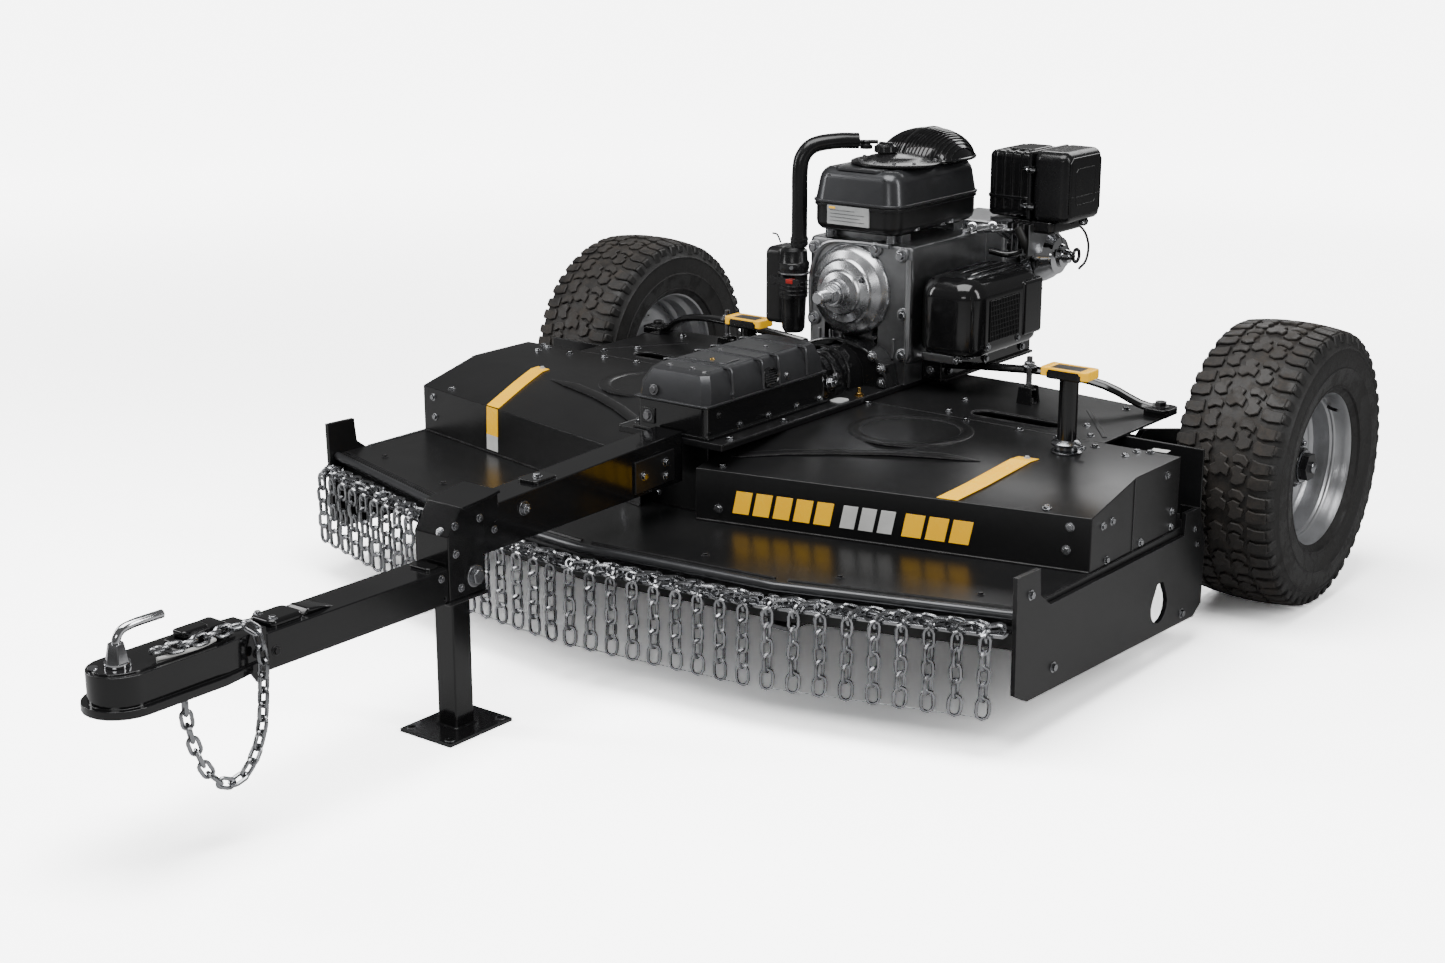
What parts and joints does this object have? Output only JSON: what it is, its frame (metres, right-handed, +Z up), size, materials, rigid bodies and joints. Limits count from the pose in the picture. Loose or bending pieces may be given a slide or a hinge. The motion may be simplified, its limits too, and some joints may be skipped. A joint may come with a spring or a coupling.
{
  "type": "tow-behind brush mower",
  "caption": "Tow-behind brush mower: wide deck with swing-blade rotors, hanging chain curtain, engine on top, drawbar with a sliding jack leg, and all-terrain wheels.",
  "frame": {"origin": "on the ground, under the middle of the machine's length and width", "axes": "+Z up, -Y along the drawbar towards the towing vehicle, +X to the right of someone who stands at the drawbar and faces the machine; names with right_ are on the +X side"},
  "size_m": [1.72, 2.317, 0.8233],
  "materials": {
    "satin_black": "satin powder coat, black",
    "gloss_black": "gloss black enamel",
    "graphite": "graphite grey metallic paint",
    "black_plastic": "moulded black plastic, half gloss",
    "cast_aluminium": "as cast, faces machined",
    "chrome": "polished",
    "zinc": "bright zinc plate",
    "steel": "plain steel, oiled",
    "rubber": "matt belt and hose rubber",
    "tyre": "matt, dusty on the tread",
    "silver_rim": "silver wheel enamel",
    "yellow": "yellow enamel",
    "red": "moulded red"
  },
  "bodies": {
    "frame": {"deck_pan": "satin_black", "left_side_plate": "satin_black", "right_side_plate": "satin_black", "front_lip_rod": "gloss_black", "curtain_rail": "zinc", "left_belt_cover": "satin_black", "right_belt_cover": "satin_black", "centre_cover": "satin_black", "rear_deck_plate": "satin_black", "rear_crossmember": "satin_black", "left_brace": "gloss_black", "right_brace": "gloss_black", "drive_platform": "gloss_black", "main_beam": "satin_black", "post_sleeve": "satin_black", "tongue_tube": "satin_black", "coupler_shell": "gloss_black", "drive_cover_base": "gloss_black", "drive_cover_hood": "graphite", "drive_neck": "gloss_black", "engine_base": "gloss_black", "crankcase": "cast_aluminium", "bearing_cover": "cast_aluminium", "engine_shroud": "black_plastic", "fuel_tank": "graphite", "fan_dome": "black_plastic", "air_filter": "black_plastic", "muffler": "chrome", "breather_pipe": "rubber", "canister": "black_plastic", "left_latch_post": "gloss_black", "right_latch_post": "gloss_black", "deck_belt": "rubber", "safety_chain": "zinc"},
    "jack": {"jack_leg": "satin_black", "jack_foot": "satin_black"},
    "yoke": {"axle_yoke": "satin_black"},
    "left_wheel": {"left_tyre": "tyre", "left_rim": "silver_rim"},
    "right_wheel": {"right_tyre": "tyre", "right_rim": "silver_rim"},
    "left_rotor": {"left_spindle": "steel"},
    "right_rotor": {"right_spindle": "steel"},
    "upright_shaft": {"centre_spindle": "steel"},
    "lower_shaft": {"drive_shaft": "steel"},
    "crank": {"crankshaft": "steel"},
    "left_front_blade_arm": {"left_front_blade": "steel"},
    "left_rear_blade_arm": {"left_rear_blade": "steel"},
    "right_front_blade_arm": {"right_front_blade": "steel"},
    "right_rear_blade_arm": {"right_rear_blade": "steel"},
    "curtain_a": {"curtain_left": "zinc"},
    "curtain_b": {"curtain_centre_left": "zinc"},
    "curtain_c": {"curtain_centre_right": "zinc"},
    "curtain_d": {"curtain_right": "zinc"},
    "latch": {"coupler_latch": "satin_black"},
    "lock_pin": {"hitch_pin": "chrome"},
    "left_handle": {"left_latch_handle": "yellow"},
    "right_handle": {"right_latch_handle": "yellow"},
    "cap": {"fuel_cap": "black_plastic"},
    "throttle": {"throttle_lever": "red"}
  },
  "joints": [
    {"name": "height_adjust", "type": "hinge", "parent": "frame", "child": "yoke", "pos_m": [0, 0.7035, 0.3], "axis": [-1, 0, 0], "range_deg": [0, 12]},
    {"name": "left_wheel_spin", "type": "hinge", "parent": "yoke", "child": "left_wheel", "pos_m": [-0.757, 0.8985, 0.26], "axis": [1, 0, 0], "continuous": true},
    {"name": "right_wheel_spin", "type": "hinge", "parent": "yoke", "child": "right_wheel", "pos_m": [0.757, 0.8985, 0.26], "axis": [1, 0, 0], "continuous": true},
    {"name": "jack_slide", "type": "slide", "parent": "frame", "child": "jack", "axis": [0, 0, 1], "range_m": [0, 0.1]},
    {"name": "left_rotor_spin", "type": "hinge", "parent": "frame", "child": "left_rotor", "pos_m": [-0.345, 0.2285, 0.2], "axis": [0, 0, 1], "continuous": true},
    {"name": "right_rotor_spin", "type": "hinge", "parent": "frame", "child": "right_rotor", "pos_m": [0.345, 0.2285, 0.2], "axis": [0, 0, 1], "continuous": true},
    {"name": "upright_spin", "type": "hinge", "parent": "frame", "child": "upright_shaft", "pos_m": [0, 0.1535, 0.3], "axis": [0, 0, 1], "continuous": true},
    {"name": "lower_shaft_spin", "type": "hinge", "parent": "frame", "child": "lower_shaft", "pos_m": [0, 0.3985, 0.425], "axis": [0, 1, 0], "continuous": true},
    {"name": "crank_spin", "type": "hinge", "parent": "frame", "child": "crank", "pos_m": [0, 0.5985, 0.535], "axis": [0, 1, 0], "continuous": true},
    {"name": "left_front_blade_swing", "type": "hinge", "parent": "left_rotor", "child": "left_front_blade_arm", "pos_m": [-0.345, 0.1335, 0.134], "axis": [0, 0, 1], "range_deg": [-90, 90]},
    {"name": "left_rear_blade_swing", "type": "hinge", "parent": "left_rotor", "child": "left_rear_blade_arm", "pos_m": [-0.345, 0.3235, 0.134], "axis": [0, 0, 1], "range_deg": [-90, 90]},
    {"name": "right_front_blade_swing", "type": "hinge", "parent": "right_rotor", "child": "right_front_blade_arm", "pos_m": [0.345, 0.1335, 0.134], "axis": [0, 0, 1], "range_deg": [-90, 90]},
    {"name": "right_rear_blade_swing", "type": "hinge", "parent": "right_rotor", "child": "right_rear_blade_arm", "pos_m": [0.345, 0.3235, 0.134], "axis": [0, 0, 1], "range_deg": [-90, 90]},
    {"name": "left_curtain_swing", "type": "hinge", "parent": "frame", "child": "curtain_a", "pos_m": [-0.56227, -0.13975, 0.1845], "axis": [0.9578, -0.2875, 0], "range_deg": [-80, 45]},
    {"name": "centre_left_curtain_swing", "type": "hinge", "parent": "frame", "child": "curtain_b", "pos_m": [-0.18743, -0.21475, 0.1845], "axis": [0.995, -0.0995, 0], "range_deg": [-80, 45]},
    {"name": "centre_right_curtain_swing", "type": "hinge", "parent": "frame", "child": "curtain_c", "pos_m": [0.18743, -0.21475, 0.1845], "axis": [0.995, 0.0995, 0], "range_deg": [-80, 45]},
    {"name": "right_curtain_swing", "type": "hinge", "parent": "frame", "child": "curtain_d", "pos_m": [0.56227, -0.13975, 0.1845], "axis": [0.9578, 0.2875, 0], "range_deg": [-80, 45]},
    {"name": "coupler_latch_lift", "type": "hinge", "parent": "frame", "child": "latch", "pos_m": [0, -0.9418, 0.3003], "axis": [-1, 0, 0], "range_deg": [0, 60]},
    {"name": "lock_pin_lift", "type": "slide", "parent": "frame", "child": "lock_pin", "axis": [0, 0, 1], "range_m": [0, 0.025]},
    {"name": "left_handle_lift", "type": "slide", "parent": "frame", "child": "left_handle", "axis": [0, 0, 1], "range_m": [0, 0.025], "stiffness_N_per_m": 600, "springref_m": -0.01},
    {"name": "right_handle_lift", "type": "slide", "parent": "frame", "child": "right_handle", "axis": [0, 0, 1], "range_m": [0, 0.025], "stiffness_N_per_m": 600, "springref_m": -0.01},
    {"name": "fuel_cap_turn", "type": "hinge", "parent": "frame", "child": "cap", "pos_m": [0.014, 0.7005, 0.79], "axis": [0, 0, 1], "range_deg": [0, 90]},
    {"name": "throttle_turn", "type": "hinge", "parent": "frame", "child": "throttle", "pos_m": [-0.146, 0.5585, 0.545], "axis": [0, 1, 0], "range_deg": [-40, 40]}
  ],
  "couplings": [
    {"joint": "right_rotor_spin", "follows": "left_rotor_spin", "ratio": 1},
    {"joint": "upright_spin", "follows": "left_rotor_spin", "ratio": 1},
    {"joint": "lower_shaft_spin", "follows": "left_rotor_spin", "ratio": 1},
    {"joint": "crank_spin", "follows": "left_rotor_spin", "ratio": -1}
  ]
}
